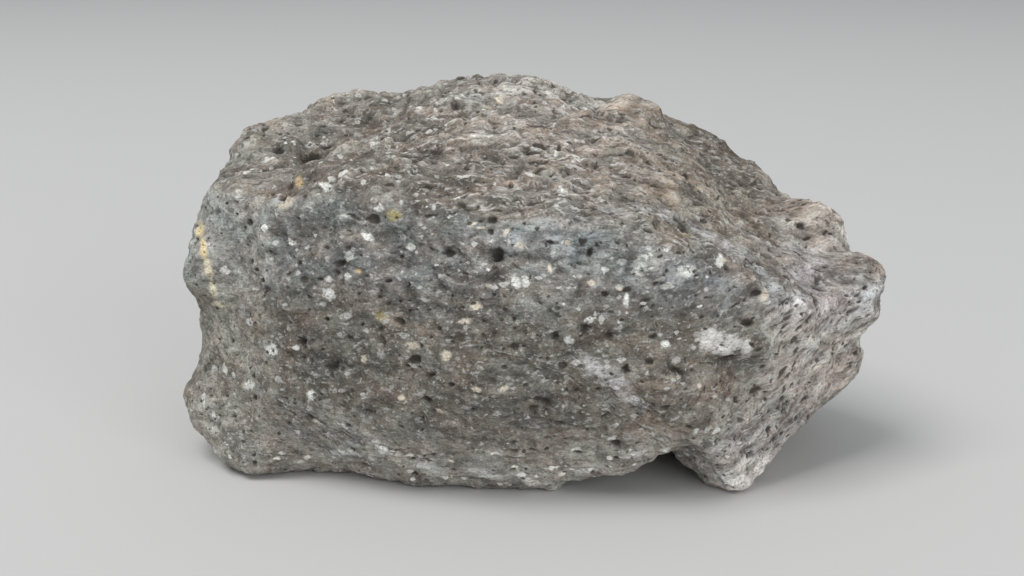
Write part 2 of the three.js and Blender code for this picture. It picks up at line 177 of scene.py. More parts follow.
# Crystals and stains, and a few marks of painted shadow: (colour, how much of it shows, marks as for the
# holes)
PATCHES = {
    "feldspar": ((0.58, 0.59, 0.56), 0.95, [
        (-35.1, 6.9, 1.1, 0.9, 0), (-30.8, 11.0, 1.1, 0.8, -20), (-21.9, 8.8, 1.0, 0.8, 0),
        (-39.2, -1.3, 1.3, 1.3, 0), (-56.4, -7.3, 0.9, 0.9, 0), (-56.4, -20.9, 1.3, 1.1, 0),
        (-43.0, -22.8, 1.0, 1.0, 0), (-61.3, -17.4, 0.6, 1.3, 10), (-59.8, -18.9, 0.4, 0.9, 10),
        (-66.1, -24.1, 0.4, 1.7, 5), (-64.1, -27.1, 0.5, 0.8, 0), (-29.3, -33.1, 1.0, 0.6, 5),
        (0.9, 1.5, 0.9, 1.4, 10), (3.0, 1.1, 0.8, 0.9, 25), (27.5, 4.1, 1.5, 1.4, 0),
        (37.7, 3.7, 2.2, 1.3, 5), (44.5, 5.6, 1.1, 1.1, 0), (12.3, -11.2, 1.0, 1.0, 0),
        (16.6, -6.9, 1.2, 0.6, 20), (32.9, -12.0, 0.9, 0.8, 0), (24.5, -2.4, 0.5, 1.3, -10),
        (-29.5, 30.6, 1.2, 0.6, -10), (-27.3, 23.9, 1.7, 0.6, -8), (-39.8, 21.7, 1.6, 0.9, -30),
        (39.6, -36.1, 0.6, 0.4, 20), (39.6, -30.6, 0.6, 0.5, 0), (-46.5, -12.9, 0.9, 0.6, 0),
        (-51.6, -13.3, 1.5, 1.3, -20),
    ]),
    "dull_feldspar": ((0.44, 0.445, 0.42), 0.85, [
        (-16.4, 42.4, 0.9, 0.6, 0), (-9.5, 41.7, 0.8, 0.5, 0), (-12.9, 41.3, 0.7, 0.3, 0),
        (-3.2, 41.5, 0.6, 0.7, 0), (0.4, 39.8, 0.9, 0.3, 15), (-20.4, 38.1, 0.5, 0.4, 0),
        (-16.4, 37.9, 0.4, 0.6, 0), (-1.5, 34.0, 0.9, 0.2, 35), (0.9, 30.6, 0.6, 0.5, 30),
        (9.3, 28.4, 0.6, 0.4, 30), (-20.4, 32.3, 0.3, 0.3, 0), (-23.2, 28.8, 0.5, 0.3, 0),
        (4.3, 23.9, 0.6, 0.2, 0), (-16.8, 17.2, 0.4, 0.6, 0), (-12.3, 17.2, 0.4, 0.3, 0),
        (-8.6, 19.4, 0.6, 0.3, 10), (-23.7, 18.3, 0.4, 0.6, 0), (-6.2, 17.4, 0.2, 0.6, 0),
        (-4.7, 10.3, 0.6, 0.4, 0), (-0.6, 8.2, 0.9, 0.6, -10), (8.8, 12.7, 0.4, 0.3, 0),
        (6.7, 13.1, 0.6, 0.3, 10), (8.8, 7.5, 0.5, 1.1, 0), (10.3, 5.4, 0.5, 0.5, 0),
        (6.9, 2.8, 0.5, 0.4, 0), (14.4, 2.6, 0.6, 0.3, 0), (-21.3, 0.9, 0.5, 0.4, 0),
        (-18.3, -2.6, 0.6, 0.3, 0), (10.1, 0.0, 0.6, 0.3, 20), (10.3, 16.1, 1.3, 0.3, -18),
        (15.7, 14.8, 1.1, 0.2, -20), (24.3, 17.9, 1.3, 0.3, 10), (28.6, 17.6, 1.1, 0.3, 0),
        (27.5, 16.4, 0.8, 0.3, -30), (29.3, 8.6, 0.5, 0.5, 0), (34.9, 9.7, 0.6, 0.2, -35),
        (35.5, 5.4, 1.2, 0.2, 36), (39.8, 2.2, 0.5, 0.3, 0), (47.8, 5.8, 0.3, 0.6, -30),
        (42.4, 9.0, 1.3, 0.3, -15), (42.6, 11.0, 0.9, 0.3, -20), (48.0, 8.6, 0.3, 0.8, -40),
        (41.7, -0.2, 0.5, 0.5, 0), (24.7, -3.7, 0.4, 0.6, 0), (31.8, -10.1, 0.6, 0.4, 0),
        (39.0, -12.7, 0.8, 0.5, 0), (29.1, -18.1, 0.2, 0.7, -20), (34.4, -19.8, 0.5, 0.4, 0),
        (38.5, -16.8, 0.5, 0.2, 10), (46.5, -24.1, 0.6, 0.5, 0), (64.3, -20.9, 0.9, 0.2, 20),
        (62.0, -4.1, 0.9, 0.2, 5), (61.5, -5.2, 0.2, 0.7, 0), (65.6, -6.2, 0.2, 0.6, 0),
        (41.7, -30.6, 0.2, 0.8, -10), (43.7, -29.9, 0.2, 0.6, -30), (40.7, -39.4, 0.9, 0.2, -40),
        (48.4, -40.5, 0.4, 0.8, -30), (35.1, -28.0, 1.1, 0.2, 25), (36.2, -26.9, 0.4, 0.5, 0),
        (29.5, -30.1, 1.5, 0.2, -18), (29.1, -35.7, 1.1, 0.3, 0), (41.3, -37.7, 0.9, 0.2, 15),
    ]),
    "weathered_feldspar": ((0.52, 0.47, 0.38), 0.9, [
        (-7.7, -3.7, 1.1, 0.8, -10), (-10.1, -7.1, 1.5, 0.6, 5), (-14.0, -14.4, 1.2, 1.0, 0),
        (-21.1, -12.3, 1.4, 0.9, 0), (-7.5, -21.9, 1.1, 0.6, -10), (-1.7, -21.7, 1.0, 0.6, 20),
        (-15.7, -26.5, 1.1, 0.5, -15), (-31.8, -15.1, 0.6, 0.8, 0), (-23.7, -23.5, 0.8, 0.6, 0),
        (54.4, -1.5, 0.9, 1.7, -35), (-2.8, 40.2, 1.0, 0.6, 0), (-48.4, 18.3, 2.2, 1.3, 20),
        (-5.2, 39.0, 1.0, 0.5, -20), (-8.2, 13.8, 0.8, 0.2, 15), (-6.2, 13.1, 1.3, 0.3, 10),
        (-1.1, 12.1, 0.5, 0.8, -30), (1.7, 9.3, 0.8, 0.7, 0), (3.0, 8.8, 0.3, 0.8, 35),
        (8.2, 4.3, 0.4, 1.0, 15), (-4.7, 0.4, 0.9, 0.4, -15), (-3.2, 23.9, 0.5, 0.3, 10),
        (-17.2, 11.6, 0.4, 0.3, 0), (50.4, -28.6, 0.5, 0.7, 0), (23.2, -0.2, 0.8, 0.4, -20),
        (39.8, -20.9, 0.6, 0.5, 0), (45.0, 5.6, 0.9, 0.6, 10), (11.8, 9.7, 0.8, 0.5, 0),
        (17.0, 1.1, 0.9, 0.6, 0),
    ]),
    "granular_feldspar": ((0.68, 0.67, 0.64), 0.8, [
        (43.0, -11.0, 3.3, 2.5, 12), (47.6, -11.9, 3.2, 1.9, -8), (45.2, -13.4, 3.2, 1.2, -10),
        (50.4, -12.6, 1.4, 1.9, 0),
    ]),
    "pale_film": ((0.36, 0.385, 0.39), 0.6, [
        (-8.0, 43.0, 1.0, 0.7, 0), (-6.0, 32.3, 1.0, 0.4, -30), (2.8, 34.6, 1.3, 0.3, 20),
        (5.4, 11.6, 0.7, 0.6, 0), (16.1, 23.2, 0.9, 1.3, -30), (10.3, 11.2, 1.7, 1.1, 0),
        (18.9, 7.1, 1.9, 1.1, 20), (29.7, 16.4, 1.9, 0.6, -25), (40.5, 14.6, 1.9, 1.1, -25),
        (51.2, 6.5, 1.3, 0.6, -25), (54.7, 3.9, 1.5, 0.7, -40), (46.5, -3.2, 1.7, 0.9, 25),
        (34.4, 4.3, 1.1, 1.1, 0), (-34.9, 15.7, 1.7, 1.1, 0), (-57.5, -4.7, 1.5, 1.9, 0),
        (-54.2, -22.0, 1.5, 1.3, 0),
    ]),
    "crown_film": ((0.62, 0.64, 0.61), 0.62, [
        (9.3, 41.4, 4.2, 1.6, -8), (0.5, 41.9, 4.0, 1.7, 0), (-8.6, 41.2, 3.8, 1.6, 6),
        (17.0, 39.8, 3.6, 1.3, -14), (-15.0, 39.6, 2.4, 1.0, 10),
    ]),
    "foot_film": ((0.84, 0.87, 0.86), 0.6, [
        (-18.5, -38.5, 5.0, 1.3, -4), (-6.0, -39.6, 5.0, 1.1, -3), (16.0, -38.8, 4.5, 1.2, 12),
        (-27.0, -34.6, 4.0, 1.0, -22), (26.0, -35.8, 3.6, 0.9, 16), (-36.0, -35.5, 4.2, 0.8, 2),
    ]),
    "foot_feldspar": ((0.82, 0.80, 0.74), 0.9, [
        (4.1, -41.7, 2.2, 1.1, -20), (-3.7, -35.7, 1.0, 0.5, 0), (13.8, -34.9, 1.0, 0.8, 0),
        (0.6, -38.6, 0.8, 0.5, 10), (8.6, -38.4, 0.6, 0.6, 0), (-13.0, -37.2, 0.7, 0.4, -20),
        (-22.0, -36.0, 0.9, 0.4, -15), (10.8, -39.9, 0.9, 0.4, 15), (21.0, -36.6, 0.7, 0.5, 0),
        (-10.3, -40.9, 0.8, 0.4, 0), (-44.0, -36.2, 0.9, 0.5, 5), (-50.6, -36.4, 0.8, 0.4, 0),
    ]),
    "blue_film": ((0.47, 0.495, 0.515), 0.62, [
        (-56.0, 19.4, 2.6, 0.9, -8), (-50.4, 18.6, 1.4, 0.8, 0), (20.5, 16.6, 3.6, 0.9, 4),
        (28.0, 16.9, 4.2, 1.2, -8), (34.5, 15.0, 4.2, 1.6, -20), (41.0, 11.8, 4.2, 1.8, -28),
        (47.3, 8.2, 4.0, 1.8, -33), (52.8, 4.2, 3.6, 1.5, -38), (56.8, -0.2, 3.2, 1.3, -44),
        (62.5, -1.6, 3.6, 1.0, -14),
    ]),
    "olivine": ((0.25, 0.215, 0.09), 0.85, [
        (-28.0, -6.0, 1.3, 1.0, 0), (-25.2, 15.9, 1.7, 1.0, 0), (36.8, 11.4, 1.7, 0.5, -12),
    ]),
    "rust": ((0.44, 0.32, 0.16), 0.8, [
        (-45.6, 22.4, 0.9, 1.2, 0), (-32.9, 3.7, 0.9, 0.6, 0),
    ]),
    "yellow_crust": ((0.60, 0.49, 0.27), 0.85, [
        (-66.9, 12.3, 1.3, 2.2, 12), (-66.2, 8.4, 0.9, 2.6, 10),
    ]),
    "cream_crust": ((0.66, 0.60, 0.44), 0.85, [
        (-65.3, 4.2, 0.9, 2.8, 14), (-64.2, -0.4, 1.0, 1.8, 12), (-63.0, -3.4, 1.9, 0.7, -8),
    ]),
    "violet_film": ((0.68, 0.66, 0.68), 0.62, [
        (17.6, -16.6, 3.7, 1.9, -32), (21.8, -19.6, 4.6, 2.4, -32), (25.0, -23.0, 3.6, 1.6, -30),
    ]),
    "green_film": ((0.36, 0.38, 0.32), 0.6, [
        (-32.3, -34.2, 4.7, 1.1, -14), (-24.1, -37.0, 4.7, 1.3, -10),
    ]),
    # brown marks, two of them painted shadow
    "brown_marks_and_painted_shadow": ((0.07, 0.052, 0.037), 0.7, [
        (3.2, -8.8, 2.6, 1.3, -8), (-1.1, -14.6, 2.8, 1.0, -5), (-19.8, -18.1, 2.8, 1.1, 0),
        # the last two marks on the next line paint the shadow in the hollow under the granular feldspar's
        # ledge
        (-8.8, -17.9, 1.9, 1.4, 0), (48.0, -15.1, 1.3, 0.9, -5), (42.6, -15.1, 1.3, 0.7, 0),
        (54.7, -12.5, 0.6, 0.9, -30), (46.7, -28.8, 1.5, 0.3, -10), (32.9, -18.1, 0.9, 0.5, -20),
        (-12.9, -2.6, 1.3, 0.6, -20), (-24.1, -9.0, 1.3, 0.6, 0),
    ]),
}
MARK_DEPTH = 7.0  # mm: how far a mark reaches along the view
THINNEST = 0.3  # mm: no mark is thinner than this, half across
FARTHEST = 99.0  # half sizes: past this a place belongs to the first mark, and none shows there

# Broad zones that are paler or darker, with soft edges: (a mark as for the holes, its tint)
TONES = [
    ((-28.0, 4.0, 31.0, 5.8, 0), (0.68, 0.68, 0.69)),
    ((-13.0, 21.5, 16.0, 11.0, 0), (0.74, 0.735, 0.73)),
    ((13.0, 39.0, 22.0, 7.0, -8), (1.18, 1.18, 1.18)),
    ((-55.0, -10.0, 19.0, 15.0, 0), (1.14, 1.14, 1.14)),
    ((39.0, 20.5, 25.0, 13.0, -38), (1.54, 1.54, 1.53)),
    ((56.5, 5.0, 22.0, 6.5, -15), (1.25, 1.32, 1.46)),
    ((70.0, -1.0, 15.0, 10.0, 0), (0.98, 1.01, 1.10)),
    ((36.5, -23.5, 17.0, 14.0, 0), (1.72, 1.65, 1.62)),
    ((8.0, 11.0, 24.0, 6.0, 0), (1.20, 1.28, 1.36)),
    ((38.5, 0.5, 18.0, 8.0, -20), (1.12, 1.23, 1.35)),
    ((-59.5, -31.0, 11.0, 8.0, 0), (0.84, 0.84, 0.84)),
]
TONE_DEPTH = 26.0  # mm: the same for a zone
TONE_EDGE = (1.0, 0.3)  # in its half sizes: where a zone begins, and where it is whole

# Folds in the flow, as half their width and their way (across, up), in mm
FOLDS = [
    (1.5, [
        (-15.5, -11.8), (-6.9, -12.3), (1.7, -14.4), (9.5, -17.2), (15.7, -21.3), (22.6, -26.9),
        (29.7, -31.0), (33.6, -34.0),
    ]),
    (2.4, [(13.6, -15.9), (18.9, -19.8), (25.4, -24.1), (30.8, -27.3)]),
    (2.2, [
        (0.6, 17.9), (10.3, 16.4), (18.9, 15.1), (27.5, 16.4), (34.0, 13.6), (40.5, 10.8), (48.0, 8.2),
        (54.4, 3.9), (62.0, -0.9),
    ]),
    (0.8, [(30.8, -13.8), (40.5, -15.9), (49.1, -15.9), (57.7, -15.1), (66.3, -12.3)]),
    (1.9, [(-49.0, -25.5), (-41.5, -29.5), (-34.5, -33.0), (-26.0, -35.2), (-14.0, -36.8)]),
]
FOLD_DEPTH = 0.5
FOLD_LEVEL = 0.52  # a streak above this stands up, and one below it sinks
FOLD_SQUEEZE = 0.12  # how much the noise is squeezed along a fold before it is drawn out
FOLD_GAP = 50.0  # mm between two folds, so that their streaks differ
UNFOLDED = 9.0  # half widths: farther than any fold shows

# ---- Colours of the finish ----

# from the dark spots of the groundmass to the pale ones
GROUNDMASS = ((0.086, 0.085, 0.079), (0.222, 0.227, 0.217))
ZONE_TINTS = {
    "top": (1.10, 1.015, 0.95),
    "nose": (1.84, 1.86, 1.96),
    "cheek": (1.82, 1.83, 1.87),
    "low": (0.74, 0.68, 0.615),
    "left": (1.66, 1.71, 1.7),
    # painted light: the foot is made paler to make up for the shade that the lamps leave low on the rock
    "foot": (2.34, 2.4, 2.5),
    "crown": (1.26, 1.26, 1.27),
    "shoulders": (0.84, 0.84, 0.82),
    "slope": (0.84, 0.82, 0.79),
    "flank": (0.78, 0.745, 0.755),
    "crest": (0.98, 1.03, 1.06),
}
WARM_TINT = (0.97, 0.855, 0.785)
HUE_TINTS = ((1.03, 0.985, 0.975), (0.975, 1.008, 1.01))
BAND_TINTS = ((0.80, 0.78, 0.755), (1.2, 1.19, 1.175))
# the noise at which they set in and are whole, their colour, and how much of it shows
STREAKS = {
    "pale": (0.54, 0.68, (0.46, 0.44, 0.415), 0.85),
    "dark": (0.45, 0.32, (0.062, 0.052, 0.043), 0.85),
}
FOLD_STREAKS = {
    "pale": (0.54, 0.70, (0.44, 0.445, 0.45), 0.62),
    "dark": (0.49, 0.34, (0.075, 0.056, 0.041), 0.8),
}
FLECKS = {
    "pale": (0.54, 0.68, (0.34, 0.34, 0.325), 0.7),
    "dark": (0.44, 0.31, (0.052, 0.044, 0.036), 0.75),
}
# the shade painted into the slits, the bubbles and the placed holes: its colour and how much of it shows
PAINTED_PIT_SHADE = ((0.036, 0.028, 0.021), 0.82)

# Feldspar that is scattered all over: the cells it lies in, its largest reach, the share of the cells
# that hold one, and how pale the palest is
CRYSTALS = [(3.0, 1.5, 0.5, 0.60), (1.5, 0.85, 0.55, 0.48)]
FELDSPAR_TINTS = ((0.5, 0.49, 0.44), (1.0, 1.01, 0.98))
# painted light: the feldspar at the foot is made paler along with the foot's tint
FOOT_FELDSPAR = (1.5, 1.5, 1.5)

ROUGHNESS = 0.88
BUMP_HEIGHTS = {"grit": 0.16, "grain": 0.5}  # mm

# ---- The studio, in m ----

LIT_POINT = (0, 0, 0.035)
FLOOR_SIZE = 8
FLOOR_MIDDLE = (0, 1, 0)
FLOOR_COLOUR = (0.52, 0.52, 0.515)
FLOOR_ROUGHNESS = 0.9
ROOM_LIGHT = ((0.95, 0.97, 1.0, 1), 0.55)  # colour and strength
# place, size, power and colour
LAMPS = {
    "overhead": ((-0.9, -0.7, 2.2), 1.4, 42.0, (1, 0.99, 0.97)),
    "front_fill": ((1.5, -2.1, 0.6), 1.8, 34.0, (0.98, 0.99, 1)),
}


# ---- Wiring nodes ----


class Bench:
    """A node tree that is being wired, for the shape of the skin or for its finish."""

    def __init__(self, tree):
        self.tree = tree

    def put(self, kind, feeds=None, **settings):
        node = self.tree.nodes.new(kind)
        for name, value in settings.items():
            setattr(node, name, value)
        for socket, value in (feeds or {}).items():
            self.feed(node.inputs[socket], value)
        return node

    def feed(self, socket, value):
        if isinstance(value, bpy.types.NodeSocket):
            self.tree.links.new(value, socket)
        elif value is not None:
            if socket.type == "RGBA" and len(value) == 3:
                value = (*value, 1)
            socket.default_value = value

    def sum(self, operation, a, b=None, c=None, clamp=False):
        feeds = {0: a, 1: b, 2: c}
        return self.put("ShaderNodeMath", feeds, operation=operation, use_clamp=clamp).outputs[0]

    def times(self, first, *others):
        for other in others:
            first = self.sum("MULTIPLY", first, other)
        return first

    def total(self, *terms, clamp=False):
        """The sum of (value, times) terms."""
        whole = 0.0
        for number, (value, times) in enumerate(terms, 1):
            last = number == len(terms)
            whole = self.sum("MULTIPLY_ADD", value, times, whole, clamp=clamp and last)
        return whole

    def vector(self, operation, a, b=None, scale=None):
        node = self.put("ShaderNodeVectorMath", {0: a, 1: b}, operation=operation)
        if scale is not None:
            self.feed(node.inputs["Scale"], scale)
        return node.outputs["Value" if operation in ("LENGTH", "DISTANCE", "DOT_PRODUCT") else "Vector"]

    def ease(self, value, low, high, to_low=0.0, to_high=1.0, kind="SMOOTHSTEP"):
        """value, eased from low..high to to_low..to_high."""
        feeds = {"Value": value, "From Min": low, "From Max": high, "To Min": to_low, "To Max": to_high}
        return self.put("ShaderNodeMapRange", feeds, interpolation_type=kind).outputs[0]

    def edge(self, terms, wobble, zone, *ends):
        """How far inside a zone the sum of the terms is, from 0 to 1, across an edge that wavers."""
        begins, whole, wavers = zone
        return self.ease(self.total(*terms, (wobble, wavers)), begins, whole, *ends)

    def parts(self, vector):
        return self.put("ShaderNodeSeparateXYZ", {0: vector}).outputs

    def join(self, x, y, z):
        return self.put("ShaderNodeCombineXYZ", {0: x, 1: y, 2: z}).outputs[0]

    def noise(self, place, size, detail=2.0, roughness=0.5, colour=False):
        """Noise of about this size in mm, near 0.5 on average."""
        feeds = {"Vector": place, "Scale": 1 / size, "Detail": detail, "Roughness": roughness}
        return self.put("ShaderNodeTexNoise", feeds).outputs["Color" if colour else 0]

    def swing(self, place, size, detail=2.0, roughness=0.5):
        """The same noise, near 0 on average."""
        return self.sum("SUBTRACT", self.noise(place, size, detail, roughness), 0.5)

    def stir(self, place, size, reach):
        """place, pushed about by up to reach mm in wisps of this size."""
        push = self.vector("SUBTRACT", self.noise(place, size, 1.0, colour=True), (0.5, 0.5, 0.5))
        return self.vector("ADD", place, self.vector("SCALE", push, scale=reach * 2))

    def cells(self, place, size, **settings):
        """The Voronoi cells of this size: the distance to a cell's heart in mm, its lots, its heart."""
        node = self.put("ShaderNodeTexVoronoi", {"Vector": place, "Scale": 1 / size}, **settings)
        distance = self.sum("MULTIPLY", node.outputs["Distance"], size)
        return distance, self.parts(node.outputs["Color"]), node.outputs["Position"]

    def mix(self, factor, a, b, kind="MIX"):
        node = self.put("ShaderNodeMix", data_type="RGBA", blend_type=kind)
        for name, value in (("Factor_Float", factor), ("A_Color", a), ("B_Color", b)):
            self.feed(next(s for s in node.inputs if s.identifier == name), value)
        return next(s for s in node.outputs if s.identifier == "Result_Color")

    def tint(self, mask, colour, tint):
        """colour, multiplied by a tint as far as the mask goes."""
        return self.mix(mask, colour, self.mix(1.0, colour, tint, "MULTIPLY"))


def bubble(b, place, cell, radius, share):
    """How deep a place is in a bubble, from 0 at its rim to 1 at its heart."""
    distance, lots, heart = b.cells(place, cell)
    reach = b.ease(lots[1], 0, 1, radius * 0.4, radius, "LINEAR")
    inside = b.sum("SUBTRACT", 1.0, b.sum("DIVIDE", distance, reach), clamp=True)
    share = b.ease(b.parts(heart)[1], *FRONT_EDGE, share * FRONT_SHARE, share)
    return b.times(inside, b.sum("LESS_THAN", lots[0], share))


def flow_place(b, place, top, nose, drawn_out):
    """place squeezed along the flow: level over most of the rock, turned on the cheek and on the slope."""
    cheek = b.sum("GREATER_THAN", b.times(nose, b.sum("SUBTRACT", 1.0, top)), 0.5)
    slope = b.sum("GREATER_THAN", drawn_out, 0.5)
    turn = b.total((cheek, math.radians(CHEEK_RISE)), (slope, math.radians(SLOPE_RISE)))
    feeds = {"Vector": place, "Angle": turn}
    turned = b.put("ShaderNodeVectorRotate", feeds, rotation_type="Y_AXIS").outputs[0]
    return b.vector("MULTIPLY", turned, FLOW_SQUEEZE)


def fold_streak(b, fold, place):
    """Streaks that run along a fold, from 0 to 1, and where they show."""
    along, beside, reach = b.parts(fold)
    push = b.swing(place, 3.5)
    drawn = b.join(b.times(along, FOLD_SQUEEZE), b.total((beside, 1.0), (push, 1.4)), 0.0)
    streak = b.noise(drawn, 0.55, 3.0, 0.65)
    return streak, b.ease(b.total((reach, 1.0), (push, 3.0)), 1.1, 0.3)


def bowl(b, inside):
    """The depth of a round pit, where inside goes from 0 at the rim to 1 at the heart."""
    return b.sum("SQRT", b.times(inside, b.sum("SUBTRACT", 2.0, inside)))


# ---- The skin's shape ----


def active(piece):
    bpy.ops.object.select_all(action="DESELECT")
    piece.select_set(True)
    bpy.context.view_layer.objects.active = piece


def apply(piece, kind, **settings):
    active(piece)
    bpy.ops.object.modifier_add(type=kind)
    modifier = piece.modifiers[-1]
    for name, value in settings.items():
        setattr(modifier, name, value)
    bpy.ops.object.modifier_apply(modifier=modifier.name)


def geometry_group(name):
    tree = bpy.data.node_groups.new(name, "GeometryNodeTree")
    tree.interface.new_socket("Geometry", in_out="INPUT", socket_type="NodeSocketGeometry")
    tree.interface.new_socket("Geometry", in_out="OUTPUT", socket_type="NodeSocketGeometry")
    b = Bench(tree)
    return b, b.put("NodeGroupInput").outputs[0]


def live(sockets, name):
    """The one socket of this name that its node uses."""
    return next(s for s in sockets if s.name == name and s.enabled)


def keep(b, geometry, name, value, kind="FLOAT_VECTOR"):
    """Stores a value on each point of the skin."""
    feeds = {"Geometry": geometry, "Name": name}
    node = b.put("GeometryNodeStoreNamedAttribute", feeds, data_type=kind, domain="POINT")
    b.feed(live(node.inputs, "Value"), value)
    return node.outputs[0]


def kept(b, name, kind="FLOAT_VECTOR"):
    node = b.put("GeometryNodeInputNamedAttribute", {"Name": name}, data_type=kind)
    return live(node.outputs, "Attribute")


def facing_nodes():
    """Keeps the way the solid faces, evened over a few mm."""
    b, start = geometry_group("which_way_it_faces")
    blur = b.put("GeometryNodeBlurAttribute", {"Iterations": 5}, data_type="FLOAT_VECTOR")
    b.feed(live(blur.inputs, "Value"), b.put("GeometryNodeInputNormal").outputs[0])
    facing = b.vector("NORMALIZE", live(blur.outputs, "Value"))
    b.tree.links.new(keep(b, start, "facing", facing), b.put("NodeGroupOutput").inputs[0])
    return b.tree


def grain_place(b, place):
    """place, drawn back along the flow past the plane where the lava was stretched."""
    x, _, z = b.parts(place)
    lean_x, lean_z = STRETCH_LEAN
    along = b.total((x, lean_x), (z, lean_z))
    past = b.sum("SUBTRACT", along, lean_x * STRETCH_FROM + lean_z * STRETCH_FROM)
    bend = b.sum("SQRT", b.total((b.times(past, past), 1.0), (1.0, STRETCH_BLEND**2)))
    drawn = b.times(b.sum("ADD", past, bend), STRETCH / 2)
    grain = b.vector("SUBTRACT", place, b.vector("SCALE", STRETCH_WAY, scale=drawn))
    return b.vector("MULTIPLY", grain, GRAIN_SQUEEZE)


def lumps_and_hollows(b, place, rough, drawn_out):
    """How high the lumps, knobs, crumbs and chips stand, and from 0 to 1 where it is hollow."""
    terms = []
    for size, height in LUMPS.values():
        billow = b.sum("ABSOLUTE", b.swing(place, size, 1.0))
        terms.append((b.sum("SUBTRACT", billow, MEAN_BILLOW), height))
    cell, steepness = CHIPS
    _, lots, heart = b.cells(place, cell)
    lean = b.vector("SUBTRACT", b.join(*lots), (0.5, 0.5, 0.5))
    chips = b.vector("DOT_PRODUCT", lean, b.vector("SUBTRACT", place, heart))
    distance, lots, _ = b.cells(place, HOLLOW_CELL)
    hollow = b.ease(distance, *HOLLOW_REACH, 1.0, 0.0)
    # fewer where the flow drew the lava out, and more where the skin is rough
    chance = b.total((lots[0], 0.8), (rough, 0.6), (drawn_out, -0.45), (1.0, -0.5))
    return b.total(*terms, (chips, steepness)), b.sum("MULTIPLY", hollow, chance, clamp=True)


def pit_depth(b, place, grain, top, nose, drawn_out):
    """How deep the placed holes, the bubbles and the slits are, in mm."""
    ragged = b.swing(place, *RIM_NOISE)
    away = b.vector("LENGTH", kept(b, "hole"))
    # the heart of a hole isn't frayed
    fray = b.times(ragged, b.sum("MINIMUM", away, 1.0))
    into = b.total((away, -1.0), (fray, FRAY), (1.0, 1.0), clamp=True)
    depth = b.times(kept(b, "hole_reach", "FLOAT"), HOLE_DEPTH)
    pits = b.times(b.ease(into, 0.0, 0.85), depth)
    fine = b.stir(grain, *FINE_WISPS)
    for cell, radius, share in BUBBLES.values():
        pit = bowl(b, bubble(b, fine, cell, radius, share))
        pits = b.sum("MAXIMUM", pits, b.times(pit, radius * BUBBLE_DEPTH))
    rough = b.sum("MAXIMUM", top, nose)
    flow = flow_place(b, b.stir(grain, *FLOW_WISPS), top, nose, drawn_out)
    for cell, radius, share in SLITS.values():
        pit = bowl(b, bubble(b, flow, cell, radius, share))
        pits = b.sum("MAXIMUM", pits, b.times(pit, b.times(rough, radius)))
    return pits


def skin_nodes():
    """Lifts and sinks the skin along its normal, and keeps its zones and the place of its grain."""
    b, start = geometry_group("broken_lava_skin")
    place = b.vector("SCALE", b.put("GeometryNodeInputPosition").outputs[0], scale=1 / MM)
    normal = b.put("GeometryNodeInputNormal").outputs[0]
    x, _, z = b.parts(place)
    wobble = b.swing(place, 9.0)
    grain = grain_place(b, place)

    top = b.edge([(b.parts(kept(b, "facing"))[2], 1.0)], wobble, ZONES["top"])
    nose = b.edge([(x, 1.0), (z, NOSE_LEAN)], wobble, ZONES["nose"])
    low = b.edge([(z, 1.0)], wobble, ZONES["low"])
    slope = b.edge([(x, 1.0)], wobble, ZONES["slope"])
    drawn_out = b.times(top, slope)

    stirred = b.stir(grain, 6.0, 1.6)
    rough = b.sum("MAXIMUM", top, nose)
    raised, hollow = lumps_and_hollows(b, stirred, rough, drawn_out)
    # calmer low on the front, at the left end and where the flow drew the lava out
    raised = b.times(raised, b.ease(low, 0.0, 1.0, 1.0, 0.6, "LINEAR"))
    raised = b.times(raised, b.ease(x, -40.0, -56.0, 1.0, 0.7))
    raised = b.times(raised, b.ease(drawn_out, 0.0, 1.0, 1.0, 0.72))
    worn_at, softness = WORN
    feeds = {0: raised, 1: worn_at, 2: softness}
    raised = b.put("ShaderNodeMath", feeds, operation="SMOOTH_MIN").outputs[0]
    pits = pit_depth(b, place, grain, top, nose, drawn_out)
    height = b.total((raised, 1.0), (hollow, -HOLLOW_DEPTH), (pits, -1.0), (1.0, LIFT))
    streak, within = fold_streak(b, kept(b, "fold"), place)
    folded = b.times(b.sum("SUBTRACT", streak, FOLD_LEVEL), within)
    height = b.total((folded, FOLD_DEPTH * 4), (height, 1.0))

    geometry = keep(b, start, "place", grain)
    geometry = keep(b, geometry, "zone", b.join(top, nose, low))
    geometry = keep(b, geometry, "slope", slope, "FLOAT")
    geometry = keep(b, geometry, "site", place)
    geometry = keep(b, geometry, "height", height, "FLOAT")
    moved = b.put("GeometryNodeSetPosition", {"Geometry": geometry})
    b.feed(moved.inputs["Offset"], b.vector("SCALE", normal, scale=b.times(height, MM)))
    # no point stays below the plane it rests on; the other two limits are far outside the rock
    grounded = b.put("GeometryNodeSetPosition", {"Geometry": moved.outputs[0]})
    position = b.put("GeometryNodeInputPosition").outputs[0]
    b.feed(grounded.inputs["Position"], b.vector("MAXIMUM", position, (-1.0, -1.0, 0.0)))
    b.tree.links.new(grounded.outputs[0], b.put("NodeGroupOutput").inputs[0])
    return b.tree


def view_axes():
    """The camera's place in mm, and the ways across, up and back from its picture."""
    rise = math.radians(RISE)
    back = np.array([0.0, -math.cos(rise), math.sin(rise)])
    up = np.array([0.0, math.sin(rise), math.cos(rise)])
    return np.array(AIM) + back * AWAY, np.array([1.0, 0.0, 0.0]), up, back


